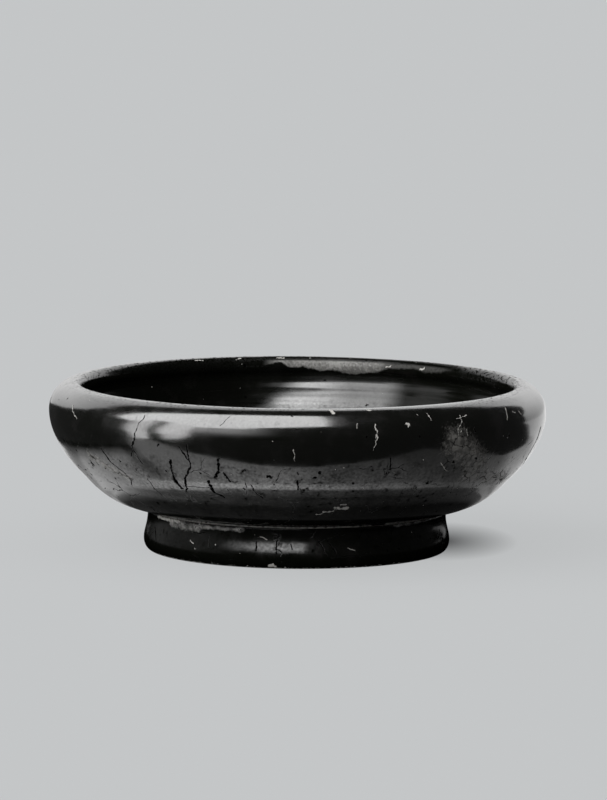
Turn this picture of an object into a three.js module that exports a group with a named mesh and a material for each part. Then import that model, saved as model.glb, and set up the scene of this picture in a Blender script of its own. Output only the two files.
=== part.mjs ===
// A small black-gloss bowl: a thrown bowl with an incurved rim, luted onto a separately thrown ring foot.
// Millimetres, +Z up. The origin is the centre of the ring that the bowl stands on.
import * as THREE from "three";

// Bowl: sizes over the gloss, heights measured from the seat where the foot is luted on
const wallRadius = 55; // widest point of the wall
const wallRise = 21.4; // seat to the widest point
const wallStartSlope = 7; // degrees above level where the wall leaves the groove
const wallLowerPull = 11; // length of the curve's handle at the groove
const wallUpperPull = 8.8; // length of the curve's handle at the widest point
const rimRise = 6.2; // widest point to the crest of the lip
const rimTurnIn = 5.6; // widest point in to the crest
const lipTurnIn = 1.7; // crest in to the mouth
const lipDrop = 2; // crest down to the narrowest point of the mouth
const wallThickness = 6.4; // widest point outside in to the inner belly
const innerBellyRise = 1.5; // widest point outside up to the inner belly
const innerWallPull = 9; // handle of the inside curve at the inner belly
const innerFloorPull = 34; // handle of the inside curve at the centre of the floor
const floorThickness = 5; // at the seat
const nippleRadius = 6; // turning point left under the floor
const nippleDrop = 1.4;

// Foot: heights measured from the surface it stands on
const footHeight = 8.9; // standing surface to the top of the ring
const footRadius = 33.8; // widest point of the foot, over the gloss
const footFlare = 0.8; // widest point in to the top edge
const footWaist = 0.35; // hollow of the side between the top edge and the widest point
const footEdgeRise = 2.4; // standing surface to the widest point
const footEdgeTurnIn = 1.6; // widest point in to the edge of the standing ring
const footTopWidth = 8.4; // width of the ring at its top
const standingWidth = 4.8; // width of the flat ring that touches the table
const standingBevel = 0.9; // bare bevel on the inner edge of the standing ring
const glossStopAngle = 54; // degrees round the lower edge where the gloss stops and the wiped clay begins

// Joint between bowl and foot
const lutingThickness = 0.6; // slip between the foot and the seat, also the width of the scraped groove
const grooveDepth = 0.7; // scraped in behind the top edge of the foot
const wallSetBack = 0.4; // wall starts this far inside the top edge of the foot
const lutingFillet = 1.8; // slip smoothed into the angle inside the foot
const filletRoundness = 0.55; // how far the fillet is drawn into that angle, 1 at its corner

// Gloss: one thickness for every coat
const glossThickness = 0.3;

// Fineness: facets round the axis, and steps along each stretch of a section
const segments = 44;
const bellySteps = 10;
const rimSteps = 5;
const lipSteps = 4;
const underLipSteps = 4;
const insideSteps = 9;
const nippleSteps = 3;
const footSideSteps = 5;
const footEdgeSteps = 3;
const bareEdgeSteps = 2;
const filletSteps = 4;

// Sizes that follow from the ones above
const footTopRadius = footRadius - footFlare;
const wallStartRadius = footTopRadius - wallSetBack;
const grooveRadius = footTopRadius - grooveDepth;
const footInnerTopRadius = footTopRadius - footTopWidth;
const standingOuterRadius = footRadius - footEdgeTurnIn;
const standingInnerRadius = standingOuterRadius - standingWidth;
const seatHeight = footHeight + lutingThickness;
const rimHeight = wallRise + rimRise;
const crestRadius = wallRadius - rimTurnIn;
const mouthRadius = crestRadius - lipTurnIn;
const innerBellyRadius = wallRadius - wallThickness;
const innerBellyHeight = wallRise + innerBellyRise;

const point = (radius, height) => new THREE.Vector2(radius, height);

// Points along a cubic curve, the first one left out so that curves can be strung together
function curve(start, startHandle, endHandle, end, count) {
  const points = new THREE.CubicBezierCurve(start, startHandle, endHandle, end).getPoints(count);
  return points.slice(1);
}

// Points along a quarter of an ellipse, from one end angle to the other in degrees, the first one left out
function ellipseArc(centre, radiusX, radiusY, from, to, count) {
  const start = THREE.MathUtils.degToRad(from);
  const end = THREE.MathUtils.degToRad(to);
  const arc = new THREE.EllipseCurve(centre.x, centre.y, radiusX, radiusY, start, end, to < from);
  return arc.getPoints(count).slice(1);
}

// The same row of points moved square to itself, to the left of its direction of travel.
// Points on the axis stay on it.
function offset(points, distance) {
  return points.map((here, index) => {
    const before = points[Math.max(index - 1, 0)];
    const after = points[Math.min(index + 1, points.length - 1)];
    const along = after.clone().sub(before).normalize();
    const radius = here.x === 0 ? 0 : here.x - along.y * distance;
    return point(radius, here.y + along.x * distance);
  });
}

const reversed = (points) => points.slice().reverse();

// Surface of the finished bowl: from the groove up the outside, over the lip, down to the floor's middle
function bowlSurface() {
  const slope = THREE.MathUtils.degToRad(wallStartSlope);
  const start = point(wallStartRadius, 0);
  const startHandle = point(start.x + wallLowerPull * Math.cos(slope), wallLowerPull * Math.sin(slope));
  const widest = point(wallRadius, wallRise);
  const belly = curve(start, startHandle, point(wallRadius, wallRise - wallUpperPull), widest, bellySteps);
  const rim = ellipseArc(point(crestRadius, wallRise), rimTurnIn, rimRise, 0, 90, rimSteps);
  const lipCentre = point(crestRadius, rimHeight - lipDrop);
  const lip = ellipseArc(lipCentre, lipTurnIn, lipDrop, 90, 180, lipSteps);
  const mouth = point(mouthRadius, rimHeight - lipDrop);
  const innerBelly = point(innerBellyRadius, innerBellyHeight);
  const turn = (mouth.y + innerBelly.y) / 2;
  const mouthHandle = point(mouth.x, turn);
  const innerBellyHandle = point(innerBelly.x, turn);
  const underLip = curve(mouth, mouthHandle, innerBellyHandle, innerBelly, underLipSteps);
  const floorCentre = point(0, floorThickness);
  const wallHandle = point(innerBelly.x, innerBelly.y - innerWallPull);
  const floorHandle = point(innerFloorPull, floorThickness);
  const inside = curve(innerBelly, wallHandle, floorHandle, floorCentre, insideSteps);
  return [start, ...belly, ...rim, ...lip, ...underLip, ...inside];
}

// Underside of the bowl's floor, from the turning point in the middle out to the seat
function floorUnderside() {
  const middle = point(0, -nippleDrop);
  const edge = point(nippleRadius, 0);
  const third = nippleRadius / 3;
  const rise = curve(middle, point(third, -nippleDrop), point(edge.x - third, 0), edge, nippleSteps);
  return [middle, ...rise];
}

// Side of the finished foot, from its top edge down to the line where the gloss stops
function footSide() {
  const top = point(footTopRadius, footHeight);
  const third = (footHeight - footEdgeRise) / 3;
  const upperHandle = point(footTopRadius - footWaist, footHeight - third);
  const widest = point(footRadius, footEdgeRise);
  const side = curve(top, upperHandle, point(footRadius, footEdgeRise + third), widest, footSideSteps);
  return [top, ...side, ...footEdge(0, glossStopAngle, footEdgeSteps)];
}

// Part of the foot's rounded lower edge, between two angles below level
function footEdge(from, to, count) {
  const centre = point(standingOuterRadius, footEdgeRise);
  return ellipseArc(centre, footEdgeTurnIn, footEdgeRise, -from, -to, count);
}

// Fillet of slip inside the foot, from the seat round to the inner face of the ring
function lutingArc() {
  const seatEnd = point(footInnerTopRadius - lutingFillet, seatHeight);
  const footEnd = innerFace(footHeight - lutingFillet);
  const corner = innerFace(footHeight);
  const seatHandle = seatEnd.clone().lerp(point(corner.x, seatHeight), filletRoundness);
  const footHandle = footEnd.clone().lerp(corner, filletRoundness);
  return [seatEnd, ...curve(seatEnd, seatHandle, footHandle, footEnd, filletSteps)];
}

// Point on the inner face of the foot at a given height
function innerFace(height) {
  const bottom = point(standingInnerRadius - standingBevel, standingBevel);
  const share = (height - bottom.y) / (footHeight - bottom.y);
  return bottom.lerp(point(footInnerTopRadius, footHeight), share);
}

// A ring or dish turned about +Z from its cross-section
function turned(name, section, finish) {
  const geometry = new THREE.LatheGeometry(section, segments);
  geometry.rotateX(Math.PI / 2);
  const mesh = new THREE.Mesh(geometry, new THREE.MeshStandardMaterial(finish));
  mesh.name = name;
  return mesh;
}

const clayFinish = { color: 0xb9aea0, roughness: 0.85, metalness: 0 };
const slipFinish = { color: 0xc8beb0, roughness: 0.9, metalness: 0 };
const glossFinish = { color: 0x0c0c0d, roughness: 0.16, metalness: 0 };

// Bowl: the clay carries the seat underneath, and the coat lies on it from the groove to the floor
const surface = bowlSurface();
const clay = offset(surface, glossThickness);
const underside = floorUnderside();
const bowlClay = turned("bowl_body", [...underside, surface[0], ...clay], clayFinish);
const wallGloss = turned("wall_gloss", [...reversed(clay), ...surface], glossFinish);

// Foot: clay ring with a bare standing ring, and a coat down its side
const side = footSide();
const sideClay = offset(side, -glossThickness);
sideClay[0].y = footHeight;
const bareEdge = footEdge(glossStopAngle, 90, bareEdgeSteps);
const standing = [...bareEdge, point(standingInnerRadius, 0)];
const filletArc = lutingArc();
const filletEnd = filletArc[filletArc.length - 1];
const innerSide = [innerFace(standingBevel), filletEnd, innerFace(footHeight)];
const groove = point(grooveRadius, footHeight);
const footSection = [groove, ...reversed(innerSide), ...reversed(standing), side[side.length - 1]];
const footClay = turned("foot_ring", [...footSection, ...reversed(sideClay), groove], clayFinish);
const footGloss = turned("foot_gloss", [...sideClay, ...reversed(side), sideClay[0]], glossFinish);

// Luting slip: flat ring under the seat with its fillet, stopping short of the outside to leave the groove
const lutingTop = point(grooveRadius, seatHeight);
const lutingSection = [groove, lutingTop, ...filletArc, innerFace(footHeight), groove];
const luting = turned("luting_slip", lutingSection, slipFinish);

// Coat inside the foot: up the inner face, over the fillet and across the underside of the floor
const raised = underside.map((here) => point(here.x, here.y + seatHeight));
const backing = [...raised, ...filletArc, innerFace(standingBevel)];
const recessFace = offset(backing, -glossThickness);
const undersideGloss = turned("underside_gloss", [...recessFace, ...reversed(backing)], glossFinish);

const foot = new THREE.Group();
foot.name = "foot";
foot.add(footClay, footGloss, luting, undersideGloss);

const vessel = new THREE.Group();
vessel.name = "vessel";
vessel.position.z = seatHeight;
vessel.add(bowlClay, wallGloss);

const bowl = new THREE.Group();
bowl.name = "black_gloss_bowl";
bowl.add(foot, vessel);

export default bowl;
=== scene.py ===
import math
from functools import partial

import bpy
import numpy as np
from mathutils import Matrix, Vector


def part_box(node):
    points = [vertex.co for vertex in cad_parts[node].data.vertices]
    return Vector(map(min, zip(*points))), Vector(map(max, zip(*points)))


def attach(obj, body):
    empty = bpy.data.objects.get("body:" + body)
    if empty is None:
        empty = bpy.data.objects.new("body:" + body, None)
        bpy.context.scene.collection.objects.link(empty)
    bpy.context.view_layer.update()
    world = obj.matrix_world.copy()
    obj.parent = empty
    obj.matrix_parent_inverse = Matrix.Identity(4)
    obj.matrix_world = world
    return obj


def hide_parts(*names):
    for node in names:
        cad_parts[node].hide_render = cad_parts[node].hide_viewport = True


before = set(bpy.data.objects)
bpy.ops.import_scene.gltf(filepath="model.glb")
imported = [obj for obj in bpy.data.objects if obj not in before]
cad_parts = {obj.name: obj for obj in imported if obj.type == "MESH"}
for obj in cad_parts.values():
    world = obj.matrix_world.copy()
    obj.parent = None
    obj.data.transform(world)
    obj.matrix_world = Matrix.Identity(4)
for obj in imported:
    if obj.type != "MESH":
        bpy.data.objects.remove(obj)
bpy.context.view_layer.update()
mm = 0.001
print("frame loaded")


# helpers shared by every piece

def linear(hexColour):
    parts = [int(hexColour[i:i + 2], 16) / 255 for i in (1, 3, 5)]
    return [p / 12.92 if p <= 0.04045 else ((p + 0.055) / 1.055) ** 2.4 for p in parts] + [1.0]


def fill(node, given):
    # given holds a value or another node's output for each socket, by number or by name
    pairs = given.items() if isinstance(given, dict) else enumerate(given or [])
    for key, value in pairs:
        if isinstance(value, bpy.types.NodeSocket):
            node.id_data.links.new(value, node.inputs[key])
        else:
            node.inputs[key].default_value = value


def addNode(tree, kind, given=None, output=0, **settings):
    # kind is a shader node unless its name says otherwise, with any operation after a dot
    kind, *operation = kind.split(".")
    node = tree.nodes.new(kind if "Node" in kind else "ShaderNode" + kind)
    if operation:
        node.operation = operation[0]
    for name, value in settings.items():
        setattr(node, name, value)
    fill(node, given)
    return node.outputs[output] if node.outputs else node


def newTree(name, kind, inputs, outputs):
    # inputs and outputs hold names of sockets by their kind
    tree = bpy.data.node_groups.new(name, kind)
    for way, sockets in (("INPUT", inputs), ("OUTPUT", outputs)):
        for data, names in sockets.items():
            for socket in names:
                tree.interface.new_socket(socket, in_out=way, socket_type="NodeSocket" + data)
    add = partial(addNode, tree)
    return tree, add, add("NodeGroupInput").node.outputs


def direction(azimuth, elevation):
    # azimuth 0 is the front, towards the camera, and grows to the right
    a, e = math.radians(azimuth), math.radians(elevation)
    return Vector((math.cos(e) * math.sin(a), -math.cos(e) * math.cos(a), math.sin(e)))


def newObject(name, vertices, edges, faces):
    mesh = bpy.data.meshes.new(name)
    mesh.from_pydata(vertices, edges, faces)
    thing = bpy.data.objects.new(name, mesh)
    bpy.context.scene.collection.objects.link(thing)
    return thing


def newMaterial(name):
    material = bpy.data.materials.new(name)
    material.use_nodes = True
    return material, partial(addNode, material.node_tree), material.node_tree.nodes["Principled BSDF"]


# camera: a long lens a little above the rim, held slightly out of level

cameraView = {
    "elevation": 7.4,        # degrees above level
    "distance": 1658,        # mm from the axis of the bowl
    "lens": 337.5,           # mm
    "sensor": 36,            # mm
    "aimHeight": 17.7,       # mm, the height the elevation is taken about
    "lookAt": (1.3, 0, 33.05),
    "roll": 0.45,            # degrees, right side low
}


def makeCamera(view):
    data = bpy.data.cameras.new("camera")
    data.lens = view["lens"]
    data.sensor_width = view["sensor"]
    camera = bpy.data.objects.new("camera", data)
    bpy.context.scene.collection.objects.link(camera)
    aim = Vector((0, 0, view["aimHeight"]))
    place = aim + direction(0, view["elevation"]) * view["distance"]
    sight = (Vector(view["lookAt"]) - place).normalized()
    turn = sight.to_track_quat("-Z", "Y").to_matrix()
    turn = turn @ Matrix.Rotation(math.radians(view["roll"]), 3, "Z")
    camera.matrix_world = Matrix.Translation(place * mm) @ turn.to_4x4()
    bpy.context.scene.camera = camera


makeCamera(cameraView)
bpy.context.scene.view_settings.view_transform = "Standard"
print("camera placed")


# sections: outlines in mm as (radius, height), measured from the standing surface

bowlShape = {
    "wallRadius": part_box("wall_gloss")[1][0] / mm,
    "rimHeight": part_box("wall_gloss")[1][2] / mm,
    "seatHeight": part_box("luting_slip")[1][2] / mm,
    "wallStart": 32.6,       # radius where the wall leaves the groove
    "wallStartSlope": 7,     # degrees
    "wallLowerPull": 11,
    "wallUpperPull": 8.8,
    "lowerSwell": 0.62,      # mm that the wall swells out low down, as thick clay sags
    "lowerSwellTo": 17,      # mm up the wall from the groove, where that has died away
    "lowerSwellEase": 1.5,   # above 1 it starts and ends softly
    "rimRise": 6.2,
    "rimTurnIn": 5.6,
    "lipTurnIn": 1.7,
    "lipDrop": 2,
    "wallThickness": 6.4,
    "innerBellyRise": 1.5,
    "innerWallPull": 9,
    "innerFloorPull": 34,
    "innerCrowding": 1.6,    # packs the points of the inside near the lip
    "ledgeFrom": 0.4,        # mm below the inner belly where a throwing ring thickens the wall
    "ledgeTo": 2.6,
    "ledgeDepth": 0.42,
    "ledgeFade": 14,         # mm below the belly where the ring has died away
    "floorThickness": 5,
    "nippleRadius": 6,
    "nippleDrop": 1.4,
    "gloss": 0.3,
    "steps": {"wall": 84, "rim": 30, "lip": 16, "underLip": 12, "inside": 60, "nipple": 8},
    "backingStep": 6,        # the hidden side of the coat keeps one row in six
}

footShape = {
    "footRadius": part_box("foot_gloss")[1][0] / mm,
    "footHeight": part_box("foot_ring")[1][2] / mm,
    "flare": 0.8,
    "waist": 0.2,            # mm that the side draws in under its top edge
    "sidePull": 3.2,         # mm, how far down the side stays straight
    "flarePull": 2.0,        # mm, how far up the widest part reaches
    "edgeRise": 2.4,
    "edgeTurnIn": 1.6,
    "topWidth": 8.4,
    "standingWidth": 4.8,
    "standingBevel": 0.9,
    "glossStop": 72,         # degrees round the lower edge
    "grooveDepth": 0.7,
    "fillet": 1.8,
    "filletRoundness": 0.55,
    "steps": {"side": 28, "edge": 12, "bare": 6, "standing": 6, "fillet": 10, "recess": 8},
}


def curve(a, b, c, d, steps, crowding=1):
    # cubic curve without its first point; crowding above 1 packs the points near its start
    t = np.linspace(0, 1, steps + 1)[1:, None] ** crowding
    a, b, c, d = (np.array(p, float) for p in (a, b, c, d))
    return list((1 - t) ** 3 * a + 3 * (1 - t) ** 2 * t * b + 3 * (1 - t) * t ** 2 * c + t ** 3 * d)


def arc(centre, wide, high, start, end, steps):
    t = np.radians(np.linspace(start, end, steps + 1)[1:])
    return list(np.stack([centre[0] + wide * np.cos(t), centre[1] + high * np.sin(t)], 1))


def line(a, b, steps):
    t = np.linspace(0, 1, steps + 1)[1:, None]
    return list(np.array(a, float) * (1 - t) + np.array(b, float) * t)


def offset(points, distance):
    # to the left of the direction of travel, with ends on the axis kept there
    points = np.array(points, float)
    along = np.gradient(points, axis=0)
    along /= np.linalg.norm(along, axis=1)[:, None]
    moved = points + distance * np.stack([-along[:, 1], along[:, 0]], 1)
    moved[points[:, 0] == 0, 0] = 0
    return list(moved)


def eased(value, start, end):
    # from 0 at start to 1 at end, with no corner at either
    t = np.clip((value - start) / (end - start), 0, 1)
    return t ** 2 * (3 - 2 * t)


def bowlSurface(s):
    # from the groove up the outside, over the lip and down to the middle of the floor
    steps = s["steps"]
    widest = s["rimHeight"] - s["rimRise"]
    crest = s["wallRadius"] - s["rimTurnIn"]
    slope = math.radians(s["wallStartSlope"])
    pull = s["wallLowerPull"]
    start = (s["wallStart"], s["seatHeight"])
    lift = (start[0] + pull * math.cos(slope), start[1] + pull * math.sin(slope))
    top = (s["wallRadius"], widest)
    mouth = (crest - s["lipTurnIn"], s["rimHeight"] - s["lipDrop"])
    belly = (s["wallRadius"] - s["wallThickness"], widest + s["innerBellyRise"])
    turn = (mouth[1] + belly[1]) / 2
    floor = s["seatHeight"] + s["floorThickness"]
    outside = [np.array(start, float)]
    outside += curve(start, lift, (top[0], top[1] - s["wallUpperPull"]), top, steps["wall"])
    upShare = np.clip(reach(outside) / s["lowerSwellTo"], 0, 1)
    swell = s["lowerSwell"] * np.sin(upShare * math.pi) ** s["lowerSwellEase"]
    points = offset(outside, -swell[:, None])
    points += arc((crest, widest), s["rimTurnIn"], s["rimRise"], 0, 90, steps["rim"])
    points += arc((crest, mouth[1]), s["lipTurnIn"], s["lipDrop"], 90, 180, steps["lip"])
    points += curve(mouth, (mouth[0], turn), (belly[0], turn), belly, steps["underLip"])
    under = (belly[0], belly[1] - s["innerWallPull"])
    inside = [np.array(belly, float)]
    inside += curve(belly, under, (s["innerFloorPull"], floor), (0, floor), steps["inside"],
                    s["innerCrowding"])
    below = reach(inside)
    ledge = eased(below, s["ledgeFrom"], s["ledgeTo"]) * eased(below, s["ledgeFade"], s["ledgeTo"])
    points += offset(inside, -s["ledgeDepth"] * ledge[:, None])[1:]
    return points


def floorUnderside(s):
    low = (0, s["seatHeight"] - s["nippleDrop"])
    edge = (s["nippleRadius"], s["seatHeight"])
    third = s["nippleRadius"] / 3
    rise = curve(low, (third, low[1]), (edge[0] - third, edge[1]), edge, s["steps"]["nipple"])
    return [np.array(low, float)] + rise


def footEdge(s, start, end, steps):
    centre = (s["footRadius"] - s["edgeTurnIn"], s["edgeRise"])
    return arc(centre, s["edgeTurnIn"], s["edgeRise"], -start, -end, steps)


def footSide(s):
    top = (s["footRadius"] - s["flare"], s["footHeight"])
    widest = (s["footRadius"], s["edgeRise"])
    upper = (top[0] - s["waist"], top[1] - s["sidePull"])
    lower = (widest[0], widest[1] + s["flarePull"])
    drop = curve(top, upper, lower, widest, s["steps"]["side"])
    return [np.array(top, float)] + drop + footEdge(s, 0, s["glossStop"], s["steps"]["edge"])


def footInside(s, height):
    low = s["standingBevel"]
    bottom = np.array((s["footRadius"] - s["edgeTurnIn"] - s["standingWidth"] - low, low))
    top = np.array((s["footRadius"] - s["flare"] - s["topWidth"], s["footHeight"]))
    return bottom + (top - bottom) * (height - bottom[1]) / (top[1] - bottom[1])


def lutingArc(s, seat):
    corner = footInside(s, s["footHeight"])
    start = np.array((corner[0] - s["fillet"], seat))
    end = footInside(s, s["footHeight"] - s["fillet"])
    first = start + (np.array((corner[0], seat)) - start) * s["filletRoundness"]
    second = end + (corner - end) * s["filletRoundness"]
    return [start] + curve(start, first, second, end, s["steps"]["fillet"])


def reach(points):
    # distance travelled along a section, in mm
    steps = np.linalg.norm(np.diff(np.array(points), axis=0), axis=1)
    return np.concatenate([[0], np.cumsum(steps)])


surface = bowlSurface(bowlShape)
surfaceReach = reach(surface)
crestIndex = bowlShape["steps"]["wall"] + bowlShape["steps"]["rim"]
mouthIndex = crestIndex + bowlShape["steps"]["lip"]
crestReach = surfaceReach[crestIndex]
mouthReach = surfaceReach[mouthIndex]
side = footSide(footShape)
sideReach = reach(side)
print("sections drawn")


# one tree turns any section about the upright axis and adds what hand throwing leaves

throwing = {
    "around": 384,           # facets round the axis
    "outOfRound": 0.16,      # mm at the rim
    "ovalTurn": 0.9,         # radians, which way the rim is widest
    "rimDip": 0.06,          # mm that the rim leans down to the right
    "unevenness": 0.07,      # mm of slow swelling in the wall
    "unevenSpacing": 34,     # mm
    "ridge": 0.022,          # mm, rings left by the fingers
    "ridgeSpacing": 2.6,     # mm
    "ridgeWander": 0.02,     # mm up the wall for each mm to the right
    "weld": 0.001,           # mm, closes the seam and the poles
    "seed": 7,
}

turnedInputs = {
    "Geometry": ["section"],
    "Int": ["around", "seed"],
    "Float": ["outOfRound", "rimDip", "unevenness", "unevenSpacing", "ridge", "ridgeSpacing", "rimHeight",
              "footHeight"],
    "Material": ["material"],
}


def turnedTree():
    tree, add, given = newTree("turnedForm", "GeometryNodeTree", turnedInputs, {"Geometry": ["geometry"]})

    # a grid with one row for each point of the section
    count = add("GeometryNodeAttributeDomainSize", [given["section"]], "Point Count")
    columns = add("Math.ADD", [given["around"], 1])
    grid = add("GeometryNodeMeshGrid", {"Vertices X": count, "Vertices Y": columns}, "Mesh")
    index = add("GeometryNodeInputIndex")
    middle = add("Math.ADD", [index, 0.5])
    share = add("Math.DIVIDE", [middle, columns])
    row = add("Math.FLOOR", [share])
    before = add("Math.MULTIPLY", [row, columns])
    column = add("Math.SUBTRACT", [index, before])
    turnShare = add("Math.DIVIDE", [column, given["around"]])
    angle = add("Math.MULTIPLY", [turnShare, 2 * math.pi])
    where = add("GeometryNodeInputPosition")
    taken = add("GeometryNodeSampleIndex", {"Geometry": given["section"], "Value": where, "Index": row},
                data_type="FLOAT_VECTOR", clamp=True)
    length = add("GeometryNodeInputNamedAttribute", {"Name": "along"}, data_type="FLOAT")
    along = add("GeometryNodeSampleIndex", {"Geometry": given["section"], "Value": length, "Index": row},
                data_type="FLOAT", clamp=True)
    section = add("SeparateXYZ", [taken]).node.outputs

    # the turned point, with the rim a little out of round and out of level
    height = add("MapRange", [section[2], given["footHeight"], given["rimHeight"]],
                 interpolation_type="SMOOTHSTEP")
    twice = add("Math.MULTIPLY_ADD", [angle, 2, throwing["ovalTurn"]])
    oval = add("Math.MULTIPLY", [add("Math.COSINE", [twice]), given["outOfRound"]])
    outward = add("Math.DIVIDE", [section[0], given["rimHeight"]])
    ovalShare = add("Math.MULTIPLY", [height, outward])
    radius = add("Math.MULTIPLY_ADD", [oval, ovalShare, section[0]])
    sine = add("Math.SINE", [angle])
    cosine = add("Math.COSINE", [angle])
    rightward = add("Math.MULTIPLY", [radius, sine])
    forward = add("Math.MULTIPLY", [radius, cosine])
    backward = add("Math.MULTIPLY", [forward, -1])
    dip = add("Math.MULTIPLY", [given["rimDip"], height])
    lean = add("Math.MULTIPLY", [dip, sine])
    level = add("Math.SUBTRACT", [section[2], lean])
    turned = add("CombineXYZ", [rightward, backward, level])
    stored = add("GeometryNodeStoreNamedAttribute", {"Geometry": grid, "Name": "along", "Value": along},
                 data_type="FLOAT", domain="POINT")
    placed = add("GeometryNodeSetPosition", {"Geometry": stored, "Position": turned})
    closed = add("GeometryNodeMergeByDistance", {"Geometry": placed, "Distance": throwing["weld"] * mm})

    # slow swelling, and finger rings that wander a little as they go round
    spot = add("SeparateXYZ", [where]).node.outputs
    swellScale = add("Math.DIVIDE", [1, given["unevenSpacing"]])
    swell = add("TexNoise", {"Vector": where, "W": given["seed"], "Scale": swellScale, "Detail": 1},
                noise_dimensions="4D")
    wander = add("Math.MULTIPLY_ADD", [spot[0], throwing["ridgeWander"], length])
    ringPlace = add("Math.DIVIDE", [wander, given["ridgeSpacing"]])
    ring = add("TexNoise", {"W": ringPlace, "Scale": 1, "Detail": 2, "Roughness": 0.6}, noise_dimensions="1D")
    swellPush = add("Math.MULTIPLY", [add("Math.SUBTRACT", [swell, 0.5]), given["unevenness"]])
    ringPush = add("Math.MULTIPLY", [add("Math.SUBTRACT", [ring, 0.5]), given["ridge"]])
    push = add("Math.ADD", [swellPush, ringPush])
    # nothing at the standing surface, and twice above the foot, as the noise swings only half either way
    grounded = add("MapRange", [spot[2], 0.0, given["footHeight"], 0.0, 2.0], interpolation_type="SMOOTHSTEP")
    amount = add("Math.MULTIPLY", [push, grounded])
    move = add("VectorMath.SCALE", {0: add("GeometryNodeInputNormal"), "Scale": amount})
    shaped = add("GeometryNodeSetPosition", {"Geometry": closed, "Offset": move})
    smooth = add("GeometryNodeSetShadeSmooth", [shaped])
    real = add("GeometryNodeRealizeInstances", [smooth])
    dressed = add("GeometryNodeSetMaterial", {"Geometry": real, "Material": given["material"]})
    add("NodeGroupOutput", [dressed])
    return tree


def turnPiece(name, section, material, tree, zero=0):
    # the section runs anticlockwise with the axis on its left; along is counted from point number zero
    along = reach(section)
    along = (along - along[zero]) * mm
    edges = [(i, i + 1) for i in range(len(section) - 1)]
    piece = newObject(name, [(p[0] * mm, 0, p[1] * mm) for p in section], edges, [])
    piece.data.attributes.new("along", "FLOAT", "POINT").data.foreach_set("value", along)
    turning = piece.modifiers.new("turning", "NODES")
    turning.node_group = tree
    sizes = dict(throwing, rimHeight=bowlShape["rimHeight"], footHeight=footShape["footHeight"])
    values = {size: sizes[size] * mm for size in turnedInputs["Float"]}
    values.update(around=throwing["around"], seed=throwing["seed"], material=material)
    for socket in tree.interface.items_tree:
        if socket.in_out == "INPUT" and socket.name in values:
            turning[socket.identifier] = values[socket.name]
    shaped = bpy.data.meshes.new_from_object(piece.evaluated_get(bpy.context.evaluated_depsgraph_get()))
    piece.modifiers.remove(turning)
    piece.data = shaped
    shaped.name = name
    return piece


# marks: lines on a turned surface, each a width in mm and then points as azimuth in degrees and height in mm

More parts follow.
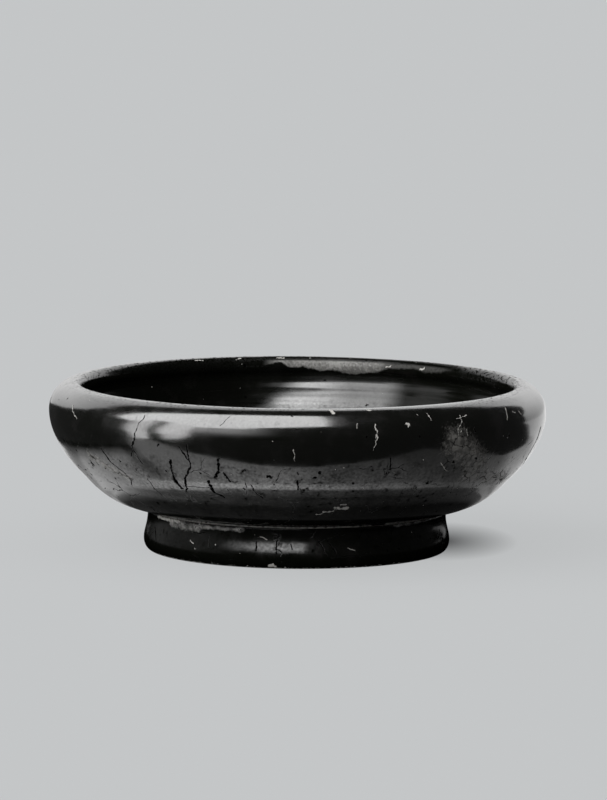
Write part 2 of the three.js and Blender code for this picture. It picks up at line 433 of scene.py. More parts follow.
wallMarks = {
    "pale": [
        (0.3, (18.0, 34.1), (17.8, 33.3)), (0.42, (17.8, 33.3), (18.1, 31.4)),
        (0.2, (18.1, 31.4), (17.7, 29.9)), (0.09, (17.7, 29.9), (17.3, 28.6)),
        (0.12, (13.8, 34.4), (13.4, 33.6)), (0.45, (25.5, 33.8), (26.1, 33.7)),
        (0.2, (29.1, 35.7), (29.2, 35.6)), (0.12, (31.6, 35.8), (32.3, 34.5)),
        (0.14, (40.8, 34.9), (40.6, 33.6), (39.3, 32.4), (39.1, 30.5)),
        (0.1, (39.3, 34.3), (40.8, 34.4), (42.9, 34.7)), (0.12, (41.6, 32.1), (41.8, 30.6)),
        (0.24, (57.6, 35.2), (56.7, 32.8)), (0.18, (60.0, 34.2), (61.0, 33.7)),
        (0.18, (63.0, 34.0), (63.4, 33.4)), (0.08, (-0.8, 29.2), (-0.6, 26.3)),
        (0.18, (35.5, 25.0), (36.2, 24.0), (38.4, 22.7)), (0.9, (10.4, 15.0), (13.8, 15.0)),
        (0.4, (11.6, 15.9), (13.0, 15.9)), (0.45, (7.2, 14.1), (10.0, 14.4)),
        (0.3, (5.4, 13.6), (7.0, 13.7)), (0.13, (-64.8, 34.2), (-60.9, 31.8)),
        (0.6, (8.0, 36.9), (8.5, 36.4)), (0.45, (17.0, 36.9), (17.6, 36.8)),
        (0.24, (-153.5, 38.3), (-151.4, 38.2)), (0.3, (-164.4, 38.2), (-163.6, 38.3)),
        (0.3, (-176.2, 38.2), (-174.4, 38.1)), (0.18, (176.3, 38.2), (176.8, 38.2)),
        (0.42, (154.2, 39.3), (155.4, 39.4)), (0.36, (143.4, 39.3), (144.8, 39.4)),
        (0.7, (118, 36.6), (120, 36.9)), (0.6, (-96, 36.9), (-94, 36.5)),
    ],
    "dark": [
        (0.36, (-51.8, 26.3), (-49.8, 23.0), (-47.0, 21.3), (-46.0, 19.8), (-47.2, 18.2)),
        (0.3, (-37.2, 34.4), (-38.2, 33.0), (-39.3, 30.8), (-39.8, 29.3), (-41.4, 25.6)),
        (0.3, (-40.3, 26.8), (-39.0, 24.0)), (0.22, (-39.8, 20.4), (-38.5, 16.3)),
        (0.62, (-30.4, 25.3), (-30.8, 22.6), (-30.6, 20.0), (-30.1, 18.8)),
        (0.56, (-25.4, 29.0), (-25.4, 24.2), (-27.7, 21.5), (-29.2, 18.0)),
        (0.36, (-27.7, 28.5), (-26.6, 27.2), (-25.7, 25.7)),
        (0.2, (-29.6, 19.5), (-25.6, 19.4), (-21.9, 19.6)),
        (0.7, (-21.8, 21.2), (-21.5, 18.5), (-19.3, 17.5)),
        (0.8, (-18.1, 26.0), (-18.5, 23.7), (-19.6, 22.3)), (0.65, (-17.2, 23.2), (-16.1, 21.3)),
        (0.36, (-11.3, 20.7), (-10.2, 18.8), (-8.7, 17.4)), (0.45, (0.3, 21.9), (0.4, 19.8)),
        (1.05, (-6.9, 22.7), (-6.1, 22.5)), (0.5, (-13.3, 19.7), (-13.0, 19.5)),
        (0.55, (5.0, 23.9), (5.4, 23.6)), (0.6, (3.6, 22.5), (4.2, 22.6)),
        (0.4, (0.0, 23.8), (0.3, 23.4)), (0.42, (21.7, 26.8), (22.2, 24.1)),
        (0.12, (-15.5, 35.8), (-17.5, 33.6)),
        (1.0, (77.5, 28.9), (77.0, 26.5), (75.6, 24.3), (76.0, 22.3), (79.0, 20.0)),
        (0.35, (130, 29.0), (126, 20.0)), (0.35, (-110, 28.0), (-113, 19.0)),
        (0.35, (175, 31.0), (171, 23.0)),
    ],
    "crazed": [
        (8.5, (38.5, 29.5), (47.5, 23.5)), (5.5, (46, 21.0), (68, 18.5)),
        (3.0, (-58, 24.0), (-46, 20.0)),
    ],
}

footMarks = {
    "pale": [
        (0.9, (-9.9, 0.7), (-8.9, 0.9)), (0.7, (-8.9, 0.9), (-8.0, 0.6)), (0.9, (150, 1.2), (154, 1.0)),
        (0.8, (-67, 8.55), (-51, 8.5)), (0.16, (-43.8, 5.0), (-42.0, 4.3)),
        (0.16, (-41.2, 3.4), (-40.9, 3.3)), (0.2, (-31.9, 4.6), (-31.6, 4.6)),
        (0.18, (-21.4, 3.2), (-21.1, 3.2)), (0.12, (-13.8, 6.9), (-11.2, 6.4)),
        (0.1, (19.4, 4.6), (22.4, 4.0)),
    ],
    "dark": [
        (0.28, (-15.3, 6.0), (-15.0, 3.9)), (0.28, (-7.4, 6.1), (-7.2, 3.6)),
        (0.2, (-2.2, 5.6), (-1.6, 4.4)), (0.4, (-3.4, 3.3), (-3.2, 3.1)), (0.3, (12, 6.0), (15, 3.4)),
        (0.3, (-70, 6.0), (-66, 3.5)),
    ],
    "crazed": [
        (2.2, (-56, 8.0), (-41, 7.8)), (1.1, (-41, 8.2), (-21, 8.3)), (0.8, (40, 8.7), (54, 8.75)),
        (0.5, (54, 8.75), (68, 8.8)),
    ],
}


def strokeGroup():
    # how much a place on the surface lies within a line between two others
    inputs = {"Vector": ["Place", "From", "To"], "Float": ["Width"]}
    tree, add, given = newTree("stroke", "ShaderNodeTree", inputs, {"Float": ["Mark"]})
    run = add("VectorMath.SUBTRACT", [given["To"], given["From"]])
    way = add("VectorMath.SUBTRACT", [given["Place"], given["From"]])
    dot = add("VectorMath.DOT_PRODUCT", [way, run], "Value")
    square = add("VectorMath.DOT_PRODUCT", [run, run], "Value")
    share = add("Math.DIVIDE", [dot, square], use_clamp=True)
    part = add("VectorMath.SCALE", {0: run, "Scale": share})
    nearest = add("VectorMath.ADD", [part, given["From"]])
    gap = add("VectorMath.DISTANCE", [given["Place"], nearest], "Value")
    mark = add("MapRange", [gap, given["Width"], 0.0])
    add("NodeGroupOutput", [mark])
    return tree


stroke = strokeGroup()


# materials; most groups of four numbers are a range of some measure, and what it gives at either end

glossLook = {
    "black": "#0a0b08",
    "thinned": "#171615",    # where the coat is thin
    "weathered": "#84827e",  # dull scaly patches
    "clay": "#c9c7c2",
    "rubbed": "#9c9b98",     # lip with the coat worn off
    "dirtAndShade": "#040404",
    "ior": 1.8,
    "mirror": 0.5,           # how strongly the coat reflects
    "insideMirror": -0.15,   # added to that in the rings inside
    "sheen": (0.1, 0.2),     # roughness, least and most
    "insideSheen": 0.16,     # roughness added in the rings inside
    "hazeSheen": 0.025,      # added in a hazier stretch
    "patchSheen": 0.2,       # added in the dull patches
    "wornSheen": 0.5,        # added on the worn lip
    "clayRoughness": 0.8,
    "haze": (-58, 28, 14),   # degrees, middle, half width and feather of the hazier stretch
    "mottleSpacing": 6,      # mm
    "mottleSheen": (0.35, 0.7),         # mottling over which the sheen goes from least to most
    "grainSpacing": 0.55,    # mm
    "cloudShare": (0.15, 1.1),          # how much clouds break up reflections, high and low on the wall
    "cloudHeight": (28, 23), # mm
    "blotch": (0.58, 0.7, 0.0, -0.4),   # small blotches that reflect less
    "thin": (0.55, 0.75),    # mottling over which the coat gets thin
    "scaly": (0.42, 0.6, 0.3, 1.0),     # how dull the patches are
    "peelSpacing": 0.8,      # mm
    "peelDepth": 0.0012,     # mm
    "coatDepth": 0.02,       # mm, drawn deeper than it is so that it shows
    "raggedSpacing": 1.7,    # mm
    "raggedReach": 1.5,      # mm
    "frays": {"pale": (1.6, 0.16), "dark": (1.7, 0.16), "crazed": (0.7, 0.4)},  # grain at edges, and softness
    "bend": 1.6,             # mm that fine cracks, specks and pits are shifted about
    "crazeSpacing": 2.6,     # mm
    "crazeLine": (0.05, 0.015),         # parts of the spacing, faint and full
    "crazeKept": (0.4, 0.48),           # mottling over which it comes in
    "hairSpacing": 9,        # mm, hairline cracks
    "hairLine": (0.013, 0.005),
    "hairKept": (0.5, 0.58),
    "hairHeight": (27, 25),  # mm, they keep below
    "speckSpacing": 2.1,     # mm, specks of bare clay
    "speckSize": (0.5, 0.85, 0.0, 0.06),
    "pitSpacing": 2.3,       # mm
    "pitSize": (0.52, 0.9, 0.1, 0.32),
    "pitFray": 0.35,
    "edgeWear": (1.25, 1.15),           # mm, coat rubbed off along the standing edge
    "edgeFray": 2.0,         # mm
    "insideStart": (-4, 2),  # mm, from before the crest to past the mouth
    "streakSpacing": 1.1,    # mm, up and down the inside
    "streakStretch": 0.03,   # below 1 they run on round the axis
    "streak": (0.35, 0.65),
    "insideWear": [(108, 56, 12, 0.5), (98, 50.5, 9, 0.1)],     # worn stretches inside, and the shine left
    "insideEdge": (1.27, -43.7, -36.7, 0.1),    # dull on the left: lean, start and end in mm, shine left
    "wearRadius": (30, 41),  # mm from the axis, between which that wear starts
    "scuffReach": (5.0, 1.5, 0.0, -0.35),       # mm from the crest, fine scuffs that reflect less
    "scuff": (0.52, 0.66),
    "lipWear": [(172, 12, 6, 1.0), (149, 8, 8, 0.22)],          # worn stretches of the lip, and the coat gone
    "lipWearReach": (1.4, 3.6),         # mm past the crest
    "lipTaper": [(-4, 6, 1.4, 0), (14, 27, 0, 1.3)],    # mm to the right, and mm that the lower edge rises
    "lipWander": 5.0,        # mm that the lower edge rises and falls
    "lipSoft": 0.5,          # mm
    "lipGrit": (0.8, 1.12, 0.45, 1.0),
    "lipDull": (160, 26, 7), # degrees, the top of the lip above, which has lost its shine
    "lipDullReach": [(-1.0, 0.3), (4.5, 3.5)],  # mm past the crest, where it starts and ends
    "lipShine": 0.12,        # the shine left there
    "crestLoss": (1.0, 0.3), # mm from the crest, small losses all the way round
    "crestGrain": (0.68, 0.74),
}

footLook = dict(glossLook, sheen=(0.12, 0.2), mirror=0.16, cloudShare=(0.3, 0.3), pitSpacing=1.8,
                crazeSpacing=1.1, raggedReach=0.8)
footLook["weathered"] = "#a3a29f"       # soiled clay where the coat is rubbed thin

clayLook = {
    "pale": "#bbb7b0",
    "deep": "#928e87",
    "tint": (0.55, 1.1),     # clouding over which deep turns to pale
    "cloudSpacing": 9,       # mm
    "grainSpacing": 0.5,     # mm
    "grainShare": 0.6,       # of the grain in the clouding
    "grainDepth": 0.03,      # mm
    "grainRough": (0.3, 0.7, 0.77, 0.93),
    "ringSpacing": 0.8,      # mm
}

slipLook = {
    "pale": "#b9b8b5",
    # dark painted shade of the groove, over all of the slip but the line at its bottom and the stretches
    "dirtAndShade": "#0d0c0b",
    "clean": (-52, 12, 12),  # degrees, middle, half width and feather of the clean stretch
    "cleanShare": 0.15,
    "dusty": (57, 19, 4),    # the same for a stretch grey with dust
    "dustyShare": 0.9,
    "gap": (33.5, 2, 2),     # the same for a dark gap
    "lineTop": (9.22, 9.1),  # mm, elsewhere only a line under this height shows pale
    "lineGrain": (0.38, 0.55, 0.3, 0.9),
    "broken": (0.3, 0.45),   # grain below which the dark painted shade shows
    "grainSpacing": 0.6,     # mm
    "grainDepth": 0.05,      # mm
    "grainRough": (0.3, 0.7, 0.8, 0.95),
}


def placeInMm(add):
    return add("VectorMath.SCALE", {0: add("TexCoord", None, "Object"), "Scale": 1 / mm})


def alongInMm(add):
    metres = add("Attribute", None, "Fac", attribute_name="along")
    return add("Math.MULTIPLY", [metres, 1 / mm])


def azimuthOf(add, x, y):
    front = add("Math.MULTIPLY", [y, -1])
    return add("Math.ARCTAN2", [x, front])


def nearAzimuth(add, x, y, azimuth, halfWidth, feather):
    # 1 within a stretch of the circle, with no seam behind
    level = add("CombineXYZ", [x, y, 0.0])
    outward = add("VectorMath.NORMALIZE", [level])
    facing = add("VectorMath.DOT_PRODUCT", [outward, tuple(direction(azimuth, 0))], "Value")
    outer = math.cos(math.radians(halfWidth + feather))
    inner = math.cos(math.radians(halfWidth))
    return add("MapRange", [facing, outer, inner], interpolation_type="SMOOTHSTEP")


def strokes(add, marks, place, radius, heights, lengths):
    total = 0.0
    for width, *points in marks:
        flat = [(math.radians(a) * radius, float(np.interp(h, heights, lengths)), 0) for a, h in points]
        for start, end in zip(flat, flat[1:]):
            ends = {"Place": place, "From": start, "To": end, "Width": width}
            total = add("Math.MAXIMUM", [add("Group", ends, node_tree=stroke), total])
    return total


def blackGloss(name, look, marks, radius, heights, lengths, crest=None, mouth=None):
    # glossy near black fired slip: sharp, slightly wavy reflections, broken by cracks, flakes, pits and wear
    # crest and mouth are mm along the section, for a coat that also covers the inside
    material, add, shader = newMaterial(name)
    place = placeInMm(add)
    x, y, z = add("SeparateXYZ", [place]).node.outputs
    along = alongInMm(add)
    inside = 0.0
    if crest is not None:
        before, past = look["insideStart"]
        inside = add("MapRange", [along, crest + before, mouth + past])

    # a fine grain frays the marks and breaks up reflections, a slow one clouds the sheen
    grain = add("TexNoise", {"Vector": place, "Scale": 1 / look["grainSpacing"], "Detail": 3})
    mottle = add("TexNoise", {"Vector": place, "Scale": 1 / look["mottleSpacing"], "Detail": 5,
                              "Roughness": 0.62})
    wobble = add("TexNoise", {"Vector": place, "Scale": 1 / look["raggedSpacing"], "Detail": 4}).node.outputs
    centred = add("VectorMath.SUBTRACT", [wobble["Color"], (0.5, 0.5, 0.5)])
    across = add("Math.MULTIPLY", [azimuthOf(add, x, y), radius])
    flat = add("CombineXYZ", [across, along, 0.0])
    ragged = add("VectorMath.MULTIPLY_ADD", [centred, (look["raggedReach"], look["raggedReach"], 0), flat])
    masks = {}
    for kind, (fray, soft) in look["frays"].items():
        inMark = strokes(add, marks[kind], ragged, radius, heights, lengths)
        frayed = add("Math.MULTIPLY_ADD", [grain, fray, inMark])
        start = (1 + fray) / 2
        masks[kind] = add("MapRange", [frayed, start, start + soft])
    patch = masks["crazed"]

    # crazing inside the patches, and a few hairlines low on the outside
    bent = add("VectorMath.MULTIPLY_ADD", [centred, (look["bend"],) * 3, place])
    lowEnough = add("MapRange", [z, *look["hairHeight"]])
    lowEnough = add("Math.SUBTRACT", [lowEnough, inside], use_clamp=True)
    cracks = masks["dark"]
    for kind, within in (("craze", patch), ("hair", lowEnough)):
        edges = add("TexVoronoi", {"Vector": bent, "Scale": 1 / look[kind + "Spacing"]},
                    feature="DISTANCE_TO_EDGE")
        web = add("MapRange", [edges, *look[kind + "Line"]])
        kept = add("MapRange", [mottle, *look[kind + "Kept"]])
        web = add("Math.MULTIPLY", [web, kept])
        web = add("Math.MULTIPLY", [web, within])
        cracks = add("Math.MAXIMUM", [web, cracks])

    # specks of clay and dark pits, each cell keeping its own by chance, and the rubbed standing edge
    specks = add("TexVoronoi", {"Vector": bent, "Scale": 1 / look["speckSpacing"]}).node.outputs
    speckSize = add("MapRange", [specks["Color"], *look["speckSize"]])
    speck = add("Math.LESS_THAN", [specks["Distance"], speckSize])
    pits = add("TexVoronoi", {"Vector": bent, "Scale": 1 / look["pitSpacing"]}).node.outputs
    pitSize = add("MapRange", [pits["Color"], *look["pitSize"]])
    pitEdge = add("Math.MULTIPLY_ADD", [grain, look["pitFray"], pits["Distance"]])
    pit = add("Math.LESS_THAN", [pitEdge, pitSize])
    holes = add("Math.MAXIMUM", [cracks, pit])
    edgeHeight = add("Math.MULTIPLY_ADD", [grain, look["edgeFray"], z])
    edgeLost = add("MapRange", [edgeHeight, *look["edgeWear"]])
    bare = add("Math.MAXIMUM", [masks["pale"], speck])
    bare = add("Math.MAXIMUM", [bare, edgeLost])

    # sheen, and how strongly the coat reflects
    rough = add("MapRange", [mottle, *look["mottleSheen"], *look["sheen"]])
    rough = add("Math.MULTIPLY_ADD", [patch, look["patchSheen"], rough])
    hazy = nearAzimuth(add, x, y, *look["haze"])
    hazy = add("Math.SUBTRACT", [hazy, inside], use_clamp=True)
    rough = add("Math.MULTIPLY_ADD", [hazy, look["hazeSheen"], rough])
    clouded = add("Math.ADD", [mottle, grain])
    clouds = add("Math.SUBTRACT", [clouded, 1.0])
    share = add("MapRange", [z, *look["cloudHeight"], *look["cloudShare"]])
    mirror = add("Math.MULTIPLY_ADD", [clouds, share, look["mirror"]])
    blotch = add("MapRange", [wobble[0], *look["blotch"]])
    mirror = add("Math.MULTIPLY_ADD", [blotch, share, mirror])
    thin = add("MapRange", [mottle, *look["thin"]])
    scaly = add("MapRange", [wobble[0], *look["scaly"]])
    dull = add("Math.MULTIPLY", [patch, scaly])
    layers = [(thin, "thinned"), (dull, "weathered")]

    if crest is not None:
        # rings left on the inside
        squeezed = [add("Math.MULTIPLY", [part, look["streakStretch"]]) for part in (x, y)]
        stretched = add("CombineXYZ", [*squeezed, along])
        streak = add("TexNoise", {"Vector": stretched, "Scale": 1 / look["streakSpacing"], "Detail": 4})
        ringed = add("MapRange", [streak, *look["streak"]])
        ringed = add("Math.MULTIPLY", [ringed, inside])
        rough = add("Math.MULTIPLY_ADD", [ringed, look["insideSheen"], rough])
        mirror = add("Math.MULTIPLY_ADD", [ringed, look["insideMirror"], mirror])

        # worn stretches of the inner wall, and a leaning edge on the left beyond which it is dull
        fromAxis = add("VectorMath.LENGTH", [add("CombineXYZ", [x, y, 0.0])], "Value")
        wall = add("MapRange", [fromAxis, *look["wearRadius"]], interpolation_type="SMOOTHSTEP")
        wall = add("Math.MULTIPLY", [wall, inside])
        for *stretch, shine in look["insideWear"]:
            worn = add("Math.MULTIPLY", [nearAzimuth(add, x, y, *stretch), wall])
            shown = add("MapRange", [worn, 0.0, 1.0, 1.0, shine])
            mirror = add("Math.MULTIPLY", [mirror, shown])
        lean, start, end, shine = look["insideEdge"]
        leaning = add("Math.MULTIPLY_ADD", [z, -lean, x])
        shown = add("MapRange", [leaning, start, end, shine, 1.0], interpolation_type="SMOOTHSTEP")
        shown = add("Mix", {0: wall, 2: 1.0, 3: shown})
        mirror = add("Math.MULTIPLY", [mirror, shown])

        # fine scuffs along the rim
        fromCrest = add("Math.SUBTRACT", [along, crest])
        crestGap = add("Math.ABSOLUTE", [fromCrest])
        scuffed = add("MapRange", [crestGap, *look["scuffReach"]])
        scuff = add("MapRange", [grain, *look["scuff"]])
        mirror = add("Math.MULTIPLY_ADD", [scuff, scuffed, mirror], use_clamp=True)

        # the stretches of lip that have lost their coat, with an uneven lower edge
        lip = 0.0
        for *stretch, gone in look["lipWear"]:
            worn = add("Math.MULTIPLY", [nearAzimuth(add, x, y, *stretch), gone])
            lip = add("Math.MAXIMUM", [worn, lip])
        lower = add("Math.MULTIPLY_ADD", [mottle, look["lipWander"], fromCrest])
        for taper in look["lipTaper"]:
            lower = add("Math.ADD", [lower, add("MapRange", [x, *taper])])
        start, end = look["lipWearReach"]
        end += look["lipWander"] / 2
        started = add("MapRange", [fromCrest, start, start + look["lipSoft"]])
        ended = add("MapRange", [lower, end + look["lipSoft"], end])
        gritty = add("MapRange", [clouded, *look["lipGrit"]])
        for mask in (started, ended, gritty):
            lip = add("Math.MULTIPLY", [lip, mask])
        layers.append((lip, "rubbed"))
        rough = add("Math.MULTIPLY_ADD", [lip, look["wornSheen"], rough])
        holes = add("Math.SUBTRACT", [holes, lip], use_clamp=True)

        # the dull top of the lip, and small losses along the whole crest
        topDull = nearAzimuth(add, x, y, *look["lipDull"])
        for limits in look["lipDullReach"]:
            topDull = add("Math.MULTIPLY", [topDull, add("MapRange", [fromCrest, *limits])])
        shown = add("MapRange", [topDull, 0.0, 1.0, 1.0, look["lipShine"]])
        mirror = add("Math.MULTIPLY", [mirror, shown])
        nearCrest = add("MapRange", [crestGap, *look["crestLoss"]])
        grained = add("MapRange", [grain, *look["crestGrain"]])
        losses = add("Math.MULTIPLY", [nearCrest, grained])
        bare = add("Math.MAXIMUM", [bare, losses])

    # coat, then clay where it is lost, then dirt in the cracks
    layers += [(bare, "clay"), (holes, "dirtAndShade")]
    colour = linear(look["black"])
    for mask, tint in layers:
        colour = add("Mix", {0: mask, 6: colour, 7: linear(look[tint])}, 2, data_type="RGBA")
    lost = add("Math.MAXIMUM", [bare, holes])
    finish = add("Mix", {0: lost, 2: rough, 3: look["clayRoughness"]})
    reflected = add("Mix", {0: lost, 2: mirror, 3: 0.0})

    # height in mm: fine skin, sunk cracks and pits, missing coat
    skin = add("TexNoise", {"Vector": place, "Scale": 1 / look["peelSpacing"], "Detail": 2})
    sunk = add("Math.MULTIPLY", [lost, -look["coatDepth"]])
    height = add("Math.MULTIPLY_ADD", [skin, look["peelDepth"], sunk])
    bump = add("Bump", {"Height": height, "Distance": mm, "Strength": 1.0})
    # a plain level first, for viewers that can't vary it
    fill(shader, {"IOR": look["ior"], "Specular IOR Level": look["mirror"]})
    fill(shader, {"Base Color": colour, "Roughness": finish, "Specular IOR Level": reflected, "Normal": bump})
    return material


def bareClay(name, look):
    # dry fired clay: pale, matt, with fine grain and faint turning rings
    material, add, shader = newMaterial(name)
    place = placeInMm(add)
    cloud = add("TexNoise", {"Vector": place, "Scale": 1 / look["cloudSpacing"], "Detail": 4})
    grain = add("TexNoise", {"Vector": place, "Scale": 1 / look["grainSpacing"], "Detail": 3})
    mixed = add("Math.MULTIPLY_ADD", [grain, look["grainShare"], cloud])
    share = add("MapRange", [mixed, *look["tint"]])
    colour = add("Mix", {0: share, 6: linear(look["deep"]), 7: linear(look["pale"])}, 2, data_type="RGBA")
    ring = add("TexNoise", {"W": alongInMm(add), "Scale": 1 / look["ringSpacing"], "Detail": 2},
               noise_dimensions="1D")
    relief = add("Math.ADD", [ring, grain])
    height = add("Math.MULTIPLY", [relief, look["grainDepth"]])
    bump = add("Bump", {"Height": height, "Distance": mm, "Strength": 1.0})
    rough = add("MapRange", [grain, *look["grainRough"]])
    fill(shader, {"Base Color": colour, "Normal": bump, "Roughness": rough})
    return material


def lutingClay(name, look):
    # soft joining slip in the groove: its pale clay shows only as a thin line at the bottom, under dark
    # painted shade of the groove, which is lighter in a cleaner and a dusty stretch
    material, add, shader = newMaterial(name)
    place = placeInMm(add)
    x, y, z = add("SeparateXYZ", [place]).node.outputs
    grain = add("TexNoise", {"Vector": place, "Scale": 1 / look["grainSpacing"], "Detail": 4})
    lowDown = add("MapRange", [z, *look["lineTop"]])
    streaky = add("MapRange", [grain, *look["lineGrain"]])
    share = add("Math.MULTIPLY", [lowDown, streaky])
    for kind in ("clean", "dusty"):
        stretch = add("Math.MULTIPLY", [nearAzimuth(add, x, y, *look[kind]), look[kind + "Share"]])
        share = add("Math.MAXIMUM", [share, stretch])
    gap = nearAzimuth(add, x, y, *look["gap"])
    share = add("Math.SUBTRACT", [share, gap], use_clamp=True)
    broken = add("MapRange", [grain, *look["broken"]])
    kept = add("Math.MULTIPLY", [share, broken])
    # dark painted shade of the groove over the pale slip, which shows only where kept
    colour = add("Mix", {0: kept, 6: linear(look["dirtAndShade"]), 7: linear(look["pale"])}, 2, data_type="RGBA")
    bump = add("Bump", {"Height": grain, "Distance": look["grainDepth"] * mm, "Strength": 1.0})
    rough = add("MapRange", [grain, *look["grainRough"]])
    fill(shader, {"Base Color": colour, "Normal": bump, "Roughness": rough})
    return material


# heights above the rim stand for mm past the crest, on the inner side of the lip
lipReach = [0.5, 3]
outerHeights = [p[1] for p in surface[:crestIndex + 1]]
markHeights = outerHeights + [outerHeights[-1] + d for d in lipReach]
markLengths = list(surfaceReach[:crestIndex + 1]) + [crestReach + d for d in lipReach]
footHeights = [p[1] for p in reversed(side)]
wallMaterial = blackGloss("wallBlackGloss", glossLook, wallMarks, bowlShape["wallRadius"], markHeights,
                          markLengths, crestReach, mouthReach)
footMaterial = blackGloss("footBlackGloss", footLook, footMarks, footShape["footRadius"], footHeights,
                          sideReach[-1] - sideReach[::-1])
recessMaterial = blackGloss("recessBlackGloss", footLook, {"pale": [], "dark": [], "crazed": []},
                            footShape["footRadius"], footHeights, sideReach[::-1])
clayMaterial = bareClay("bareClay", clayLook)
slipMaterial = lutingClay("lutingClay", slipLook)
print("materials mixed")


# pieces

turned = turnedTree()
thin = bowlShape["gloss"]
backing = offset(surface, thin)
backing = backing[:-1:bowlShape["backingStep"]] + [backing[-1]]
wallGloss = turnPiece("wallGloss", backing[::-1] + surface, wallMaterial, turned, len(backing))
underside = floorUnderside(bowlShape)
bowlBody = turnPiece("bowlBody", underside + [surface[0]] + backing, clayMaterial, turned)

sideBacking = offset(side, -thin)
sideBacking[0][1] = footShape["footHeight"]
footSection = sideBacking + side[::-1] + [sideBacking[0]]
footGloss = turnPiece("footGloss", footSection, footMaterial, turned, len(sideBacking))
grooveRadius = footShape["footRadius"] - footShape["flare"] - footShape["grooveDepth"]
groove = np.array((grooveRadius, footShape["footHeight"]))
bareEdge = footEdge(footShape, footShape["glossStop"], 90, footShape["steps"]["bare"])
inner = (footShape["footRadius"] - footShape["edgeTurnIn"] - footShape["standingWidth"], 0)
standing = bareEdge + line(bareEdge[-1], inner, footShape["steps"]["standing"])
fillet = lutingArc(footShape, bowlShape["seatHeight"])
bevelEdge = footInside(footShape, footShape["standingBevel"])
innerTop = footInside(footShape, footShape["footHeight"])
ringSection = [groove, innerTop, fillet[-1], bevelEdge] + standing[::-1] + [side[-1]]
footRing = turnPiece("footRing", ringSection + sideBacking[::-1] + [groove], clayMaterial, turned)
seatEdge = np.array((grooveRadius, bowlShape["seatHeight"]))
lutingSlip = turnPiece("lutingSlip", [groove, seatEdge] + fillet + [innerTop, groove], slipMaterial, turned)
recess = footShape["steps"]["recess"]
roof = underside + line(underside[-1], fillet[0], recess)[:-1] + fillet + line(fillet[-1], bevelEdge, recess)
roofSection = offset(roof, -thin) + roof[::-1]
undersideGloss = turnPiece("undersideGloss", roofSection, recessMaterial, turned)


# chips: small hollows knocked out of the edges, as azimuth, height, width and depth

chips = {
    "wall": [(8.2, 36.8, 2.2, 0.16), (17.3, 36.9, 1.6, 0.12), (17.9, 32.0, 1.4, 0.1),
             (-151, 37.0, 2.4, 0.18), (-166, 37.0, 2.6, 0.18), (-172, 37.0, 2.0, 0.14),
             (119, 36.8, 2.2, 0.16), (-95, 36.8, 1.8, 0.14)],
    "foot": [(-11, 0.9, 2.6, 0.2), (152, 1.1, 2.4, 0.18), (40, 0.8, 1.6, 0.12)],
    "roughness": (0.6, 1.0), # least and most of the depth, point by point
    "roundness": 0.7,        # below 1 a hollow has a flatter floor
    "facing": 0.2,           # surfaces turned to the axis are hit only if they also look up by this much
    "seed": 11,
}


def vertexValues(mesh, name):
    values = np.empty(len(mesh.vertices) * 3)
    mesh.vertices.foreach_get(name, values)
    return values.reshape(-1, 3)


def knock(piece, places, radius):
    mesh = piece.data
    points = vertexValues(mesh, "co")
    normals = vertexValues(mesh, "normal")
    rough = np.random.default_rng(chips["seed"]).uniform(*chips["roughness"], len(points))
    turnedAway = (points[:, :2] * normals[:, :2]).sum(1) <= 0
    for azimuth, height, width, depth in places:
        centre = np.array(direction(azimuth, 0)) * radius(height) + np.array((0, 0, height))
        gap = np.linalg.norm(points - centre * mm, axis=1) / (width / 2 * mm)
        hollow = np.clip(1 - gap, 0, 1) ** chips["roundness"] * rough * depth * mm
        hollow[turnedAway & (normals[:, 2] < chips["facing"])] = 0
        points -= normals * hollow[:, None]
    mesh.vertices.foreach_set("co", points.ravel())
    mesh.update()


wallRadii = [p[0] for p in surface[:crestIndex + 1]]
footRadii = [p[0] for p in reversed(side)]
knock(wallGloss, chips["wall"], lambda h: np.interp(h, outerHeights, wallRadii))
knock(footGloss, chips["foot"], lambda h: np.interp(h, footHeights, footRadii))
print("chips knocked out")

pieces = {
    "wall_gloss": (wallGloss, "gloss"),
    "bowl_body": (bowlBody, "clay"),
    "foot_gloss": (footGloss, "gloss"),
    "foot_ring": (footRing, "clay"),
    "luting_slip": (lutingSlip, "slip"),
    "underside_gloss": (undersideGloss, "gloss"),
}
for node, (piece, slot) in pieces.items():
    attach(piece, "root")
    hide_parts(node)
    print("piece", node, len(piece.data.polygons))


# stage: pale floor, soft lamps, and cards that only the gloss sees

stageLook = {
    "floorColour": "#c4c6c7",
    "floorDiffuse": "#505152",
    "floorRoughness": 0.9,
    "floorLift": 0.495,      # part of the floor's brightness that no shadow takes away
    "floorSize": 12,         # m
    "paintedShadow": (0.0315, 0.0135, 0),     # m, middle of a painted shadow on the floor beside the foot
    "paintedShadowReach": (0.018, 0.032),     # m, half sizes of the painted shadow
    # share of the floor's glow left in the middle of the painted shadow
    "paintedShadowLift": 0.1,
    "cardHeight": 0.0004,    # m, cards that stand for the ground
    "footCardHeight": 0.0008,           # m, the one for the foot
    "world": 0.03,
    "suns": {                # azimuth, elevation, spread in degrees, strength
        "left": (-70, 28, 70, 1.6),
        "sky": (-30, 75, 120, 1.5),
        "front": (-25, 22, 60, 1.0),
    },
}

windowLook = {
    "facing": (-50.6, 53),   # azimuth and elevation of the middle
    "distance": 1.2,         # m
    "roll": -54.3,           # degrees
    "corners": [(-0.95, -0.74), (0.05, -0.66), (0.42, -0.4), (0.55, 0.1), (0.95, 0.36), (0.95, 0.66),
                (-0.95, 0.66)],         # m
    "strength": 6.3,
}

# panes: azimuth and elevation of each corner, strength, and the azimuths and elevations it comes in over

leftPanes = {
    "distance": 2.0,         # m
    "panes": [
        ([(-68, 40), (-50, 40), (-50, -2), (-68, -2)], 5.6, (-68, -64), (-4, -1)),
        ([(-88, 30), (-72, 30), (-72, -2), (-88, -2)], 4.6, (-88, -82), (-4, -1)),
        ([(-50, 46), (-4, 52), (-4, -4), (-50, -4)], 2.3, (-4, -36), (-4, 28)),
    ],
}

